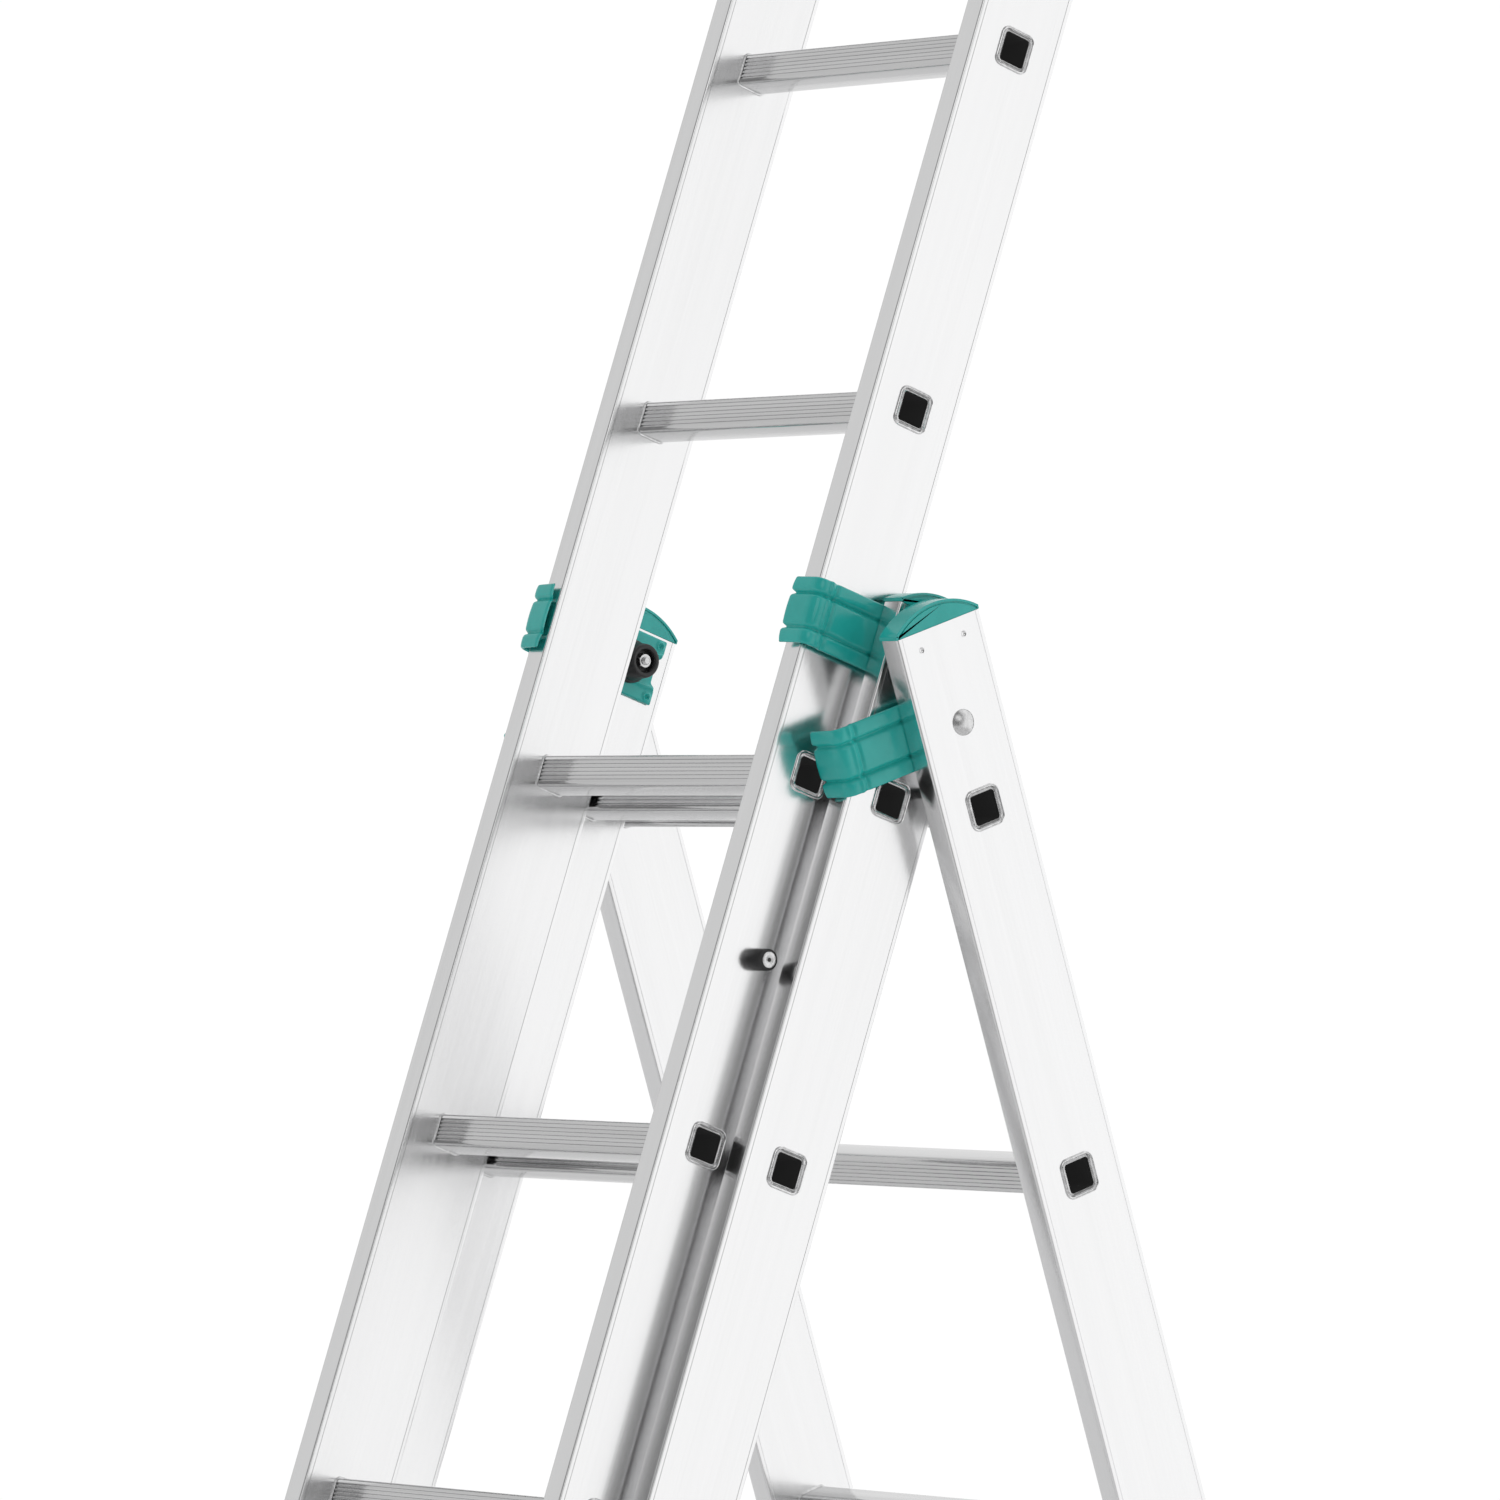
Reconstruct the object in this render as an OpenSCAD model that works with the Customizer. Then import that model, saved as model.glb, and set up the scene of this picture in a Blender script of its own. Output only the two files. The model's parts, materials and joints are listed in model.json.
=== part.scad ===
// Three-section combination ladder, standing as a stepladder with its upper section raised.
// The middle section is the climbing leg, the rear section is the prop leg, and the upper section
// slides in front of the middle one. Millimetres, +Z up, the climber faces +Y, the floor is Z = 0.
//
// Each section is drawn in its own frame: X across, Y backwards through the stile, Z up along it,
// with Z = 0 at the stiles' top ends.

/* [Stiles] */
// Length of the upper and middle stiles
stile_len = 1960; // [1900:5:2000]
// Depth of a stile, front to back
stile_depth = 78; // [76:0.5:80]
// Thickness of a stile, side to side
stile_w = 19.5; // [18.5:0.5:20]
// Wall of the stile tube
stile_wall = 1.3; // [1.2:0.1:2]

/* [Sections] */
// Overall width of the upper section
upper_w = 336; // [330:1:340]
// Overall width of the middle section
middle_w = 391.5; // [389:0.5:394]
// Overall width of the rear section
rear_w = 451; // [449:0.5:454]
// How far each section stands in front of the next
nest_step = 54.5; // [54.5:0.5:56]
// Height of the middle stiles' tops above the point where the two legs cross
middle_top = 42.5; // [40:0.5:45]
// Height of the rear stiles' tops above that point
rear_top = 37.8; // [36:0.1:40]
// Rungs by which the upper section is raised
raised_rungs = 4; // [3:1:5]
// Lean of each leg from upright, in degrees
lean = 18.72; // [18.6:0.02:18.8]

/* [Rungs] */
// Distance from one rung to the next
rung_pitch = 280; // [275:1:282]
// Side of the square rung
rung_size = 25; // [24:0.5:28]
// Wall of the rung tube
rung_wall = 1.5; // [1.2:0.1:2]
// Radius of the rung's corners
rung_corner = 4; // [3:0.5:5]
// Distance from a stile's top end to its first rung
top_to_rung = 138; // [136:1:140]

/* [Guides] */
// Height of a guide bracket
guide_h = 50; // [46:0.5:50.5]
// Thickness of a guide bracket's plate
guide_t = 3.5; // [3:0.1:3.6]
// Distance from a guide's bolt to the inside of its front lip
guide_reach = 96.4; // [96.4:0.1:98]
// Thickness of the guide's front lip
lip_t = 2.8; // [2.6:0.1:3.2]
// Length of the lip, side to side
lip_len = 28; // [25:0.5:31]
// Distance from a middle stile's top to its guide bolt
middle_bolt_drop = 27.5; // [27:0.5:29]
// Distance from a rear stile's top to its guide bolt
rear_bolt_drop = 73.7; // [73.7:0.1:75]

/* [Base] */
// Half the length of the stabiliser bar
bar_half = 440; // [380:5:500]
// Height of the stabiliser bar
bar_h = 30; // [26:1:34]
// Thinnest rubber under a middle stile
sole_t = 6; // [5:0.5:8]

/* [Small parts] */
// Radius of the fold hinge's pins
hinge_r = 4; // [4:0.5:5]
// Length of the stop pins
stop_len = 13; // [12:0.5:16]
// Radius of the stop pins
stop_r = 8; // [7:0.5:8.5]
// Width of the spreader straps
strap_w = 25; // [20:1:30]
// Distance of the strap's ends below the crossing point, along the stiles
strap_drop = 1075; // [1060:5:1090]

/* [Hidden] */
$fn = 48;

rung_count = 7;
half_depth = stile_depth / 2;
stile_r = 1.6;            // outside corner radius of the stile tube
fit_gap = 0.05;           // clearance of a tube in its hole
plug_gap = 0.3;           // clearance of a plastic plug in a stile
rim = 2.8;                // how far a rung's flared rim stands out around it
rim_t = 1.4;              // thickness of the flared rim
collar = 2;               // how far the bead at a stile's inner face stands out around the rung
collar_t = 1.4;           // thickness of that bead

// The legs' crossing point above the floor: the middle stile's lowest corner clears it by sole_t
cross_h = (stile_len - middle_top) * cos(lean) + half_depth * sin(lean) + sole_t;
rear_len = stile_len - bar_h - 4;       // the rear stiles are shorter by the bar under them
// The fold hinge, in the frame of the crossing point: folded, the legs lie nest_step apart
hinge_drop = nest_step / 2 / tan(lean); // along either stile
hinge_off = nest_step / 2;              // backwards from the middle, forwards from the rear

bolt_r = 4;                // the rear guides' and the bar's bolts
slim_r = 3;                // the middle guides' bolts
head_r = 9.5;
head_h = 3.6;
stop_drop = top_to_rung + (raised_rungs + 0.5) * rung_pitch;
hook_pivot_y = -20;       // the hooks turn in front of the upper stile's centre line
hook_pivot_drop = 5;      // and below the upper section's lowest rung
hook_t = 3.2;
hook_half = 8;            // half the width of the hook's arms
// Turned over, the hook's arm lies on the rung behind: it clears that rung's rims by 1 mm
hook_under = hook_pivot_drop + rung_size / 2 + rim + 1;
// From the pivot to the inner face of the hook's tip, which comes down behind that rung
hook_mouth = nest_step - hook_pivot_y + rung_size / 2 + rim + 2.5;
hook_reach = hook_mouth + 8.5;
hook_tip = 12;            // how far the tip reaches past the pivot's line
bar_front = -14;          // the bar's front face lies behind the folded middle section
bar_back = half_depth - 3;
bar_wall = 1.6;
shoe_rise = 3;            // the rubber foot stands this far above the bar
foot_len = 52;

// --- where each section stands ---
module in_middle() translate([0, 0, cross_h]) rotate([-lean, 0, 0]) translate([0, 0, middle_top])
  children();
module in_rear() translate([0, 0, cross_h]) rotate([lean, 0, 0]) translate([0, 0, rear_top])
  children();
module in_upper() in_middle() translate([0, -nest_step, raised_rungs * rung_pitch]) children();
// The left side is the right side's mirror image
module on_side(left) { if (left) mirror([1, 0, 0]) children(); else children(); }
module both_sides() { children(); mirror([1, 0, 0]) children(); }
// Turns a drawing in X-Y into one in Y-Z that is extruded towards +X from x0 to x1
module across(x0, x1) translate([x0, 0, 0]) rotate([90, 0, 90]) linear_extrude(x1 - x0) children();
// A round bar along X
module round_x(r, x0, x1, y = 0, z = 0)
  translate([x0, y, z]) rotate([0, 90, 0]) cylinder(h = x1 - x0, r = r);
// Everything above the floor
module above_floor() intersection() {
  children();
  translate([-1000, -1500, 0]) cube([2000, 3000, 4000]);
}

// --- shapes that repeat ---
module rounded(a, b, r) {
  square([a - 2 * r, b], center = true);
  square([a, b - 2 * r], center = true);
  for (i = [-1, 1], j = [-1, 1])
    translate([i * (a / 2 - r), j * (b / 2 - r)]) circle(r, $fn = 32);
}
module rung_outline(grow) rounded(rung_size + 2 * grow, rung_size + 2 * grow, rung_corner + grow);

module stile_tube(w, len) translate([(w - stile_w) / 2, 0, -len]) linear_extrude(len) difference() {
  rounded(stile_w, stile_depth, stile_r);
  square([stile_w - 2 * stile_wall, stile_depth - 2 * stile_wall], center = true);
}
// A right-hand stile with its rung holes; children are further cuts
module stile(w, len) difference() {
  stile_tube(w, len);
  for (i = [0 : rung_count - 1]) translate([0, 0, -top_to_rung - i * rung_pitch])
    across(w / 2 - stile_w - 1, w / 2 + 1) rung_outline(fit_gap);
  children();
}
module rung(w, i) translate([0, 0, -top_to_rung - i * rung_pitch]) difference() {
  union() {
    across(-w / 2, w / 2) rung_outline(0);
    both_sides() {
      across(w / 2, w / 2 + rim_t) rung_outline(rim);
      across(w / 2 - stile_w - collar_t, w / 2 - stile_w) rung_outline(collar);
    }
  }
  across(-w / 2 - rim_t - 1, w / 2 + rim_t + 1) rung_outline(-rung_wall);
}
// A plug that fills the stile's inside from z0 to z1
module plug(w, z0, z1) translate([(w - stile_w) / 2, 0, z0]) linear_extrude(z1 - z0)
  square([stile_w - 2 * (stile_wall + plug_gap), stile_depth - 2 * (stile_wall + plug_gap)],
         center = true);
// End cap with a low arched top
cap_base = 3;
cap_arch = 13.5;
cap_plug = 20;
cap_r = (half_depth * half_depth + cap_arch * cap_arch) / (2 * cap_arch);
module cap(w) {
  across(w / 2 - stile_w, w / 2) {
    translate([-half_depth, 0]) square([stile_depth, cap_base]);
    intersection() {
      translate([0, cap_base + cap_arch - cap_r]) circle(cap_r, $fn = 128);
      translate([-half_depth, cap_base]) square([stile_depth, cap_arch + 1]);
    }
  }
  plug(w, -cap_plug, 0);
}
// Guide bracket: a plate on the stile's inner face, an arm forwards and a lip across its front.
// Drawn around its bolt; x is the stile's inner face.
plate_back = 28.5;
guide_corner = 8;         // outside radius between arm and lip
inner_r = guide_corner - guide_t;
module guide(x, hole_r) difference() {
  translate([0, 0, -guide_h / 2]) linear_extrude(guide_h) difference() {
    union() {
      translate([x - guide_t, -guide_reach - lip_t]) square([guide_t, guide_reach + lip_t + plate_back]);
      translate([x - lip_len, -guide_reach - lip_t]) square([lip_len, lip_t]);
      translate([x - guide_t - inner_r, -guide_reach]) square(inner_r + 0.01);
    }
    // rounded outside corner
    translate([x - guide_corner, -guide_reach - lip_t + guide_corner]) difference() {
      translate([0, -guide_corner - 0.5]) square(guide_corner + 0.5);
      circle(guide_corner);
    }
    // hollow of the inside corner
    translate([x - guide_t - inner_r, -guide_reach + inner_r]) circle(inner_r);
  }
  round_x(hole_r + fit_gap, x - guide_t - 1, x + 1);
  for (z = [-20, 20]) round_x(1.8, x - guide_t - 1, x + 1, 23, z);
}
// Carriage bolt: domed head outside the stile at x, shank inwards to x_end
module carriage_bolt(x, x_end, r) {
  round_x(r, x_end, x + 0.5);
  ball = (head_r * head_r + head_h * head_h) / (2 * head_h);
  translate([x, 0, 0]) rotate([0, 90, 0]) intersection() {
    translate([0, 0, head_h - ball]) sphere(ball, $fn = 96);
    cylinder(h = head_h + 1, r = head_r);
  }
}
module hex_nut(x0, x1, flats, r) difference() {
  translate([x0, 0, 0]) rotate([0, 90, 0]) cylinder(h = x1 - x0, r = flats / 2 / cos(30), $fn = 6);
  round_x(r + fit_gap, x0 - 1, x1 + 1);
}

// --- inner faces of the stiles, right-hand side ---
upper_in = upper_w / 2 - stile_w;
middle_in = middle_w / 2 - stile_w;
rear_in = rear_w / 2 - stile_w;
block_tip = middle_in - 24;       // the slide block's end, beside the upper stile's back edge
block_face = middle_in - guide_t; // it sits on the guide's plate
nut_t = 5;

// --- stiles ---
module upper_stile(left) color("gainsboro") on_side(left) in_upper() stile(upper_w, stile_len) {
  round_x(2.5, upper_w / 2 - stile_w / 2, upper_w / 2 + 1, 0, -stop_drop);
  round_x(3 + fit_gap, upper_w / 2 - stile_w / 2, upper_w / 2 + 1, hook_pivot_y, hook_z);
}
module middle_stile(left) color("gainsboro") on_side(left) in_middle() stile(middle_w, stile_len) {
  round_x(slim_r + fit_gap, middle_in - 1, middle_w / 2 + 1, 0, -middle_bolt_drop);
  round_x(hinge_r + fit_gap, middle_in + stile_w / 2, middle_w / 2 + 1,
          hinge_off, -middle_top - hinge_drop);
  round_x(2.5, middle_in + stile_w / 2, middle_w / 2 + 1, 0, -middle_top - strap_drop);
}
module rear_stile(left) color("gainsboro") on_side(left) in_rear() stile(rear_w, rear_len) {
  round_x(bolt_r + fit_gap, rear_in - 1, rear_w / 2 + 1, 0, -rear_bolt_drop);
  round_x(hinge_r + fit_gap, rear_in - 1, rear_in + stile_w / 2,
          -hinge_off, -rear_top - hinge_drop);
  round_x(2.5, rear_in - 1, rear_in + stile_w / 2, 0, -rear_top - strap_drop);
}

// --- rungs ---
module upper_rung(i) color("silver") in_upper() rung(upper_w, i);
module middle_rung(i) color("silver") in_middle() rung(middle_w, i);
module rear_rung(i) color("silver") in_rear() rung(rear_w, i);

// --- caps, plugs and feet ---
module upper_caps() color("darkcyan") in_upper() both_sides() cap(upper_w);
module middle_cap(left) color("darkcyan") on_side(left) in_middle() cap(middle_w);
module rear_cap(left) color("darkcyan") on_side(left) in_rear() cap(rear_w);
module upper_plugs() color("dimgray") in_upper() both_sides() {
  plug(upper_w, -stile_len, -stile_len + 26);
  translate([(upper_w - stile_w) / 2, 0, -stile_len - 5]) linear_extrude(5)
    rounded(stile_w, stile_depth, stile_r);
}
module middle_foot(left) color("dimgray") above_floor() on_side(left) in_middle() {
  plug(middle_w, -stile_len, -stile_len + 34);
  translate([(middle_w - stile_w) / 2, 0, -stile_len - 60]) linear_extrude(60)
    rounded(stile_w, stile_depth, stile_r);
}
// The rear stiles end in plugs that fill the space in front of the bar
module rear_shoes() color("dimgray") in_rear() both_sides() difference() {
  union() {
    plug(rear_w, -rear_len, -rear_len + 34);
    translate([rear_in, -half_depth, -rear_len - bar_h]) cube([stile_w, half_depth + bar_front, bar_h]);
  }
  translate([rear_in + stile_w / 2, bolt_y, -rear_len - 1]) cylinder(h = 26, r = bolt_r + fit_gap);
}
bolt_y = (bar_front + bar_back) / 2;
module stabiliser_bar() color("gainsboro") in_rear() difference() {
  across(-bar_half, bar_half) translate([bolt_y, -rear_len - bar_h / 2])
    rounded(bar_back - bar_front, bar_h, 2);
  across(-bar_half - 1, bar_half + 1) translate([bolt_y, -rear_len - bar_h / 2])
    square([bar_back - bar_front - 2 * bar_wall, bar_h - 2 * bar_wall], center = true);
  both_sides() translate([rear_in + stile_w / 2, bolt_y, -rear_len - bar_h - 1])
    cylinder(h = bar_h + 2, r = bolt_r + fit_gap);
}
module stabiliser_foot(left) color("dimgray") above_floor() on_side(left) in_rear() difference() {
  translate([bar_half - foot_len + 12, bar_front - 4, -rear_len - bar_h - 60])
    cube([foot_len, half_depth - bar_front + 4, 60 + bar_h + shoe_rise]);
  across(bar_half - foot_len - 10, bar_half + fit_gap) translate([bolt_y, -rear_len - bar_h / 2])
    square([bar_back - bar_front + 2 * fit_gap, bar_h + 2 * fit_gap], center = true);
}
module stabiliser_bolts() color("silver") in_rear() both_sides()
  translate([rear_in + stile_w / 2, bolt_y, -rear_len - bar_h]) {
    cylinder(h = bar_h + 22, r = bolt_r);
    translate([0, 0, -5]) cylinder(h = 5, r = 7.5, $fn = 6);
  }

// --- guides, slide blocks and their bolts ---
module middle_guide(left) color("darkcyan") on_side(left) in_middle()
  translate([0, 0, -middle_bolt_drop]) guide(middle_in, slim_r);
module rear_guide(left) color("darkcyan") on_side(left) in_rear()
  translate([0, 0, -rear_bolt_drop]) guide(rear_in, bolt_r);
// Cone beside the upper stile's back edge, on a flange whose tail reaches forwards and down
module slide_block(left) color("dimgray") on_side(left) in_middle()
  translate([0, 0, -middle_bolt_drop]) difference() {
    union() {
      round_x(16.5, block_face - 3.2, block_face);
      across(block_face - 3.2, block_face)
        polygon([[0, -16.5], [12, -11.3], [0, 16.5], [-12, 11.3], [-30, -14], [-26, -22]]);
      translate([block_tip, 0, 0]) rotate([0, 90, 0])
        cylinder(h = block_face - 3.2 - block_tip, r1 = 12.6, r2 = 14.6);
    }
    round_x(slim_r + fit_gap, block_tip - 1, block_face + 1);
    round_x(8.5, block_tip - 1, block_tip + nut_t + 1);
  }
module middle_guide_bolts() color("silver") in_middle() both_sides()
  translate([0, 0, -middle_bolt_drop]) carriage_bolt(middle_w / 2, block_tip - 1.5, slim_r);
module middle_guide_nuts() color("silver") in_middle() both_sides()
  translate([0, 0, -middle_bolt_drop]) hex_nut(block_tip + 1, block_tip + nut_t + 1, 10, slim_r);
module rear_guide_bolts() color("silver") in_rear() both_sides()
  translate([0, 0, -rear_bolt_drop]) carriage_bolt(rear_w / 2, rear_in - guide_t - 4.2, bolt_r);
module rear_guide_nuts() color("silver") in_rear() both_sides()
  translate([0, 0, -rear_bolt_drop]) hex_nut(rear_in - guide_t - 4, rear_in - guide_t, 13, bolt_r);

// --- stop pins ---
module stop_pins() color("dimgray") in_upper() both_sides() translate([0, 0, -stop_drop])
  difference() {
    round_x(stop_r, upper_w / 2, upper_w / 2 + stop_len);
    round_x(3 + fit_gap, upper_w / 2 - 1, upper_w / 2 + stop_len + 1);
  }
module stop_pin_rivets() color("silver") in_upper() both_sides() translate([0, 0, -stop_drop])
  difference() {
    union() {
      round_x(3, upper_w / 2, upper_w / 2 + stop_len);
      round_x(2.5 - fit_gap, upper_w / 2 - 6, upper_w / 2);
      round_x(6, upper_w / 2 + stop_len, upper_w / 2 + stop_len + 0.8);
    }
    round_x(1.4, upper_w / 2 + 6, upper_w / 2 + stop_len + 2);
  }

// --- fold hinge ---
// Each pin is held in the rear stile and turns in the middle one
module hinge_pins() color("dimgray") in_rear() both_sides()
  round_x(hinge_r, middle_w / 2 - 6, rear_in + 6, -hinge_off, -rear_top - hinge_drop);

// --- rung hooks of the upper section, hanging in the gap beside the stile ---
hook_x = upper_w / 2 + 2;
hook_z = -top_to_rung - (rung_count - 1) * rung_pitch - hook_pivot_drop;
hook_back = hook_under + 2 * hook_half;
module hook(left) color("silver") on_side(left) in_upper() translate([0, hook_pivot_y, hook_z])
  difference() {
    union() {
      round_x(hook_half, hook_x, hook_x + hook_t);
      across(hook_x, hook_x + hook_t) polygon([
        [0, hook_half], [hook_back - 5, hook_half], [hook_back, hook_half - 5],
        [hook_back, 6 - hook_reach], [hook_back - 6, -hook_reach], [2 - hook_tip, -hook_reach],
        [-hook_tip, 3 - hook_reach], [-hook_tip, -hook_mouth], [hook_under - 2, -hook_mouth],
        [hook_under, 2 - hook_mouth], [hook_under, -hook_half - 3], [hook_under - 3, -hook_half],
        [0, -hook_half]]);
    }
    round_x(3 + fit_gap, hook_x - 1, hook_x + hook_t + 1);
  }
module hook_pivots() color("silver") in_upper() both_sides() translate([0, hook_pivot_y, hook_z]) {
  round_x(3, upper_w / 2 - 7, hook_x + hook_t + 0.2);
  round_x(6, hook_x + hook_t + 0.2, hook_x + hook_t + 1.7);
}

// --- spreader straps, taut between the legs ---
strap_t = 2;
strap_y = strap_drop * sin(lean);
strap_z = cross_h - strap_drop * cos(lean);
strap_end = 16;                 // webbing past the screw
strap_flat = strap_y - 60;      // where the webbing leaves the stile's face
strap_front = middle_w / 2 + fit_gap;
strap_back = rear_in - fit_gap;
module strap(left) color("dimgray") on_side(left) translate([0, 0, strap_z - strap_w / 2])
  linear_extrude(strap_w) polygon([
    [strap_front, -strap_y - strap_end], [strap_front + strap_t, -strap_y - strap_end],
    [strap_front + strap_t, -strap_flat], [strap_back, strap_flat],
    [strap_back, strap_y + strap_end], [strap_back - strap_t, strap_y + strap_end],
    [strap_back - strap_t, strap_flat], [strap_front, -strap_flat]]);
module strap_screws_middle() color("silver") in_middle() both_sides()
  translate([0, 0, -middle_top - strap_drop]) {
    round_x(2.5 - fit_gap, middle_w / 2 - 8, middle_w / 2);
    round_x(7, strap_front + strap_t, strap_front + strap_t + 1.8);
  }
module strap_screws_rear() color("silver") in_rear() both_sides()
  translate([0, 0, -rear_top - strap_drop]) {
    round_x(2.5 - fit_gap, rear_in, rear_in + 8);
    round_x(7, strap_back - strap_t - 1.8, strap_back - strap_t);
  }

upper_stile(true);  // upper_stile_left
upper_stile(false);  // upper_stile_right
middle_stile(true);  // middle_stile_left
middle_stile(false);  // middle_stile_right
rear_stile(true);  // rear_stile_left
rear_stile(false);  // rear_stile_right
upper_rung(0);  // upper_rung_1
upper_rung(1);  // upper_rung_2
upper_rung(2);  // upper_rung_3
upper_rung(3);  // upper_rung_4
upper_rung(4);  // upper_rung_5
upper_rung(5);  // upper_rung_6
upper_rung(6);  // upper_rung_7
middle_rung(0);  // middle_rung_1
middle_rung(1);  // middle_rung_2
middle_rung(2);  // middle_rung_3
middle_rung(3);  // middle_rung_4
middle_rung(4);  // middle_rung_5
middle_rung(5);  // middle_rung_6
middle_rung(6);  // middle_rung_7
rear_rung(0);  // rear_rung_1
rear_rung(1);  // rear_rung_2
rear_rung(2);  // rear_rung_3
rear_rung(3);  // rear_rung_4
rear_rung(4);  // rear_rung_5
rear_rung(5);  // rear_rung_6
rear_rung(6);  // rear_rung_7
upper_caps();
middle_cap(true);  // middle_cap_left
middle_cap(false);  // middle_cap_right
rear_cap(true);  // rear_cap_left
rear_cap(false);  // rear_cap_right
upper_plugs();
middle_foot(true);  // middle_foot_left
middle_foot(false);  // middle_foot_right
rear_shoes();
stabiliser_bar();
stabiliser_foot(true);  // stabiliser_foot_left
stabiliser_foot(false);  // stabiliser_foot_right
middle_guide(true);  // middle_guide_left
middle_guide(false);  // middle_guide_right
rear_guide(true);  // rear_guide_left
rear_guide(false);  // rear_guide_right
slide_block(true);  // slide_block_left
slide_block(false);  // slide_block_right
stop_pins();
stop_pin_rivets();
middle_guide_bolts();
middle_guide_nuts();
rear_guide_bolts();
rear_guide_nuts();
hinge_pins();
hook(true);  // hook_left
hook(false);  // hook_right
hook_pivots();
strap(true);  // strap_left
strap(false);  // strap_right
strap_screws_middle();
strap_screws_rear();
stabiliser_bolts();
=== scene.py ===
"""Looks of the combination ladder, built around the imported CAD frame.

Every piece is drawn in millimetres in its own section's frame, as in the CAD: x across, w backwards
through the stile, s up along it from the stiles' top ends. Object matrices carry the sections' lean.
"""
import json
import math

import bmesh
import bpy
from mathutils import Matrix, Vector


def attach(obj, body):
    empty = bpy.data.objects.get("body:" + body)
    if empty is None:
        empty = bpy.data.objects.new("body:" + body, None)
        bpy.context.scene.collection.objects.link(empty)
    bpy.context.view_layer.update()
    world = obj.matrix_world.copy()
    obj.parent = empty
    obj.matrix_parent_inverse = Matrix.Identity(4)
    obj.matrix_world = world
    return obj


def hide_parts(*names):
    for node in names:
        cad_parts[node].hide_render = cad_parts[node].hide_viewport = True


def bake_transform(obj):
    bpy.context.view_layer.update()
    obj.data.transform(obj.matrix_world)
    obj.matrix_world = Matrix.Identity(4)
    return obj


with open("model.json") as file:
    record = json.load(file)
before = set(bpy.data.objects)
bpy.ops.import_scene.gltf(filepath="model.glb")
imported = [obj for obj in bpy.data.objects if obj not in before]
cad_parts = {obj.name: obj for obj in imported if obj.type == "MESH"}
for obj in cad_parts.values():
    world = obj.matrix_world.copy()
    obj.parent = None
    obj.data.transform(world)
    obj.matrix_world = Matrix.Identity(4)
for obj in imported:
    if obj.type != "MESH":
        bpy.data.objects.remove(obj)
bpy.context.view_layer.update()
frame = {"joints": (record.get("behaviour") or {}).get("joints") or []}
MM = 0.001

# --- sizes of the CAD, in millimetres ---
STILE_W, STILE_DEPTH, STILE_WALL, STILE_R = 19.5, 78.0, 1.3, 1.6
STILE_LEN, REAR_LEN = 1960.0, 1926.0
WIDTH = {"upper": 336.0, "middle": 391.5, "rear": 451.0}
LENGTH = {"upper": STILE_LEN, "middle": STILE_LEN, "rear": REAR_LEN}
NEST, PITCH, RAISED, FIRST_RUNG, RUNGS = 54.5, 280.0, 4, 138.0, 7
MIDDLE_TOP, REAR_TOP = 42.5, 37.8
RUNG, RUNG_WALL, RUNG_R, RIM = 25.0, 1.5, 4.0, 2.8
HALF = STILE_DEPTH / 2

# --- the sections' frames, from the joints ---
JOINT = {j["name"]: j for j in frame["joints"]}
slide_axis = Vector(JOINT["upper_slide"]["axis"]).normalized()
LEAN = math.atan2(slide_axis.y, slide_axis.z)
CROSS_H = JOINT["leg_fold"]["pos_m"][2] / MM + NEST / 2 / math.sin(LEAN)
BODY = {"upper": "upper_section", "middle": "middle_section", "rear": "rear_section"}


def section_matrix(lean, top, forward=0.0, raised=0.0):
    """A section's frame in metres; the mesh in it is already in metres."""
    return (Matrix.Translation((0, 0, CROSS_H * MM)) @ Matrix.Rotation(-lean, 4, "X")
            @ Matrix.Translation((0, -forward * MM, (top + raised) * MM)))


AT = {"middle": section_matrix(LEAN, MIDDLE_TOP), "rear": section_matrix(-LEAN, REAR_TOP),
      "upper": section_matrix(LEAN, MIDDLE_TOP, NEST, RAISED * PITCH)}


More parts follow.
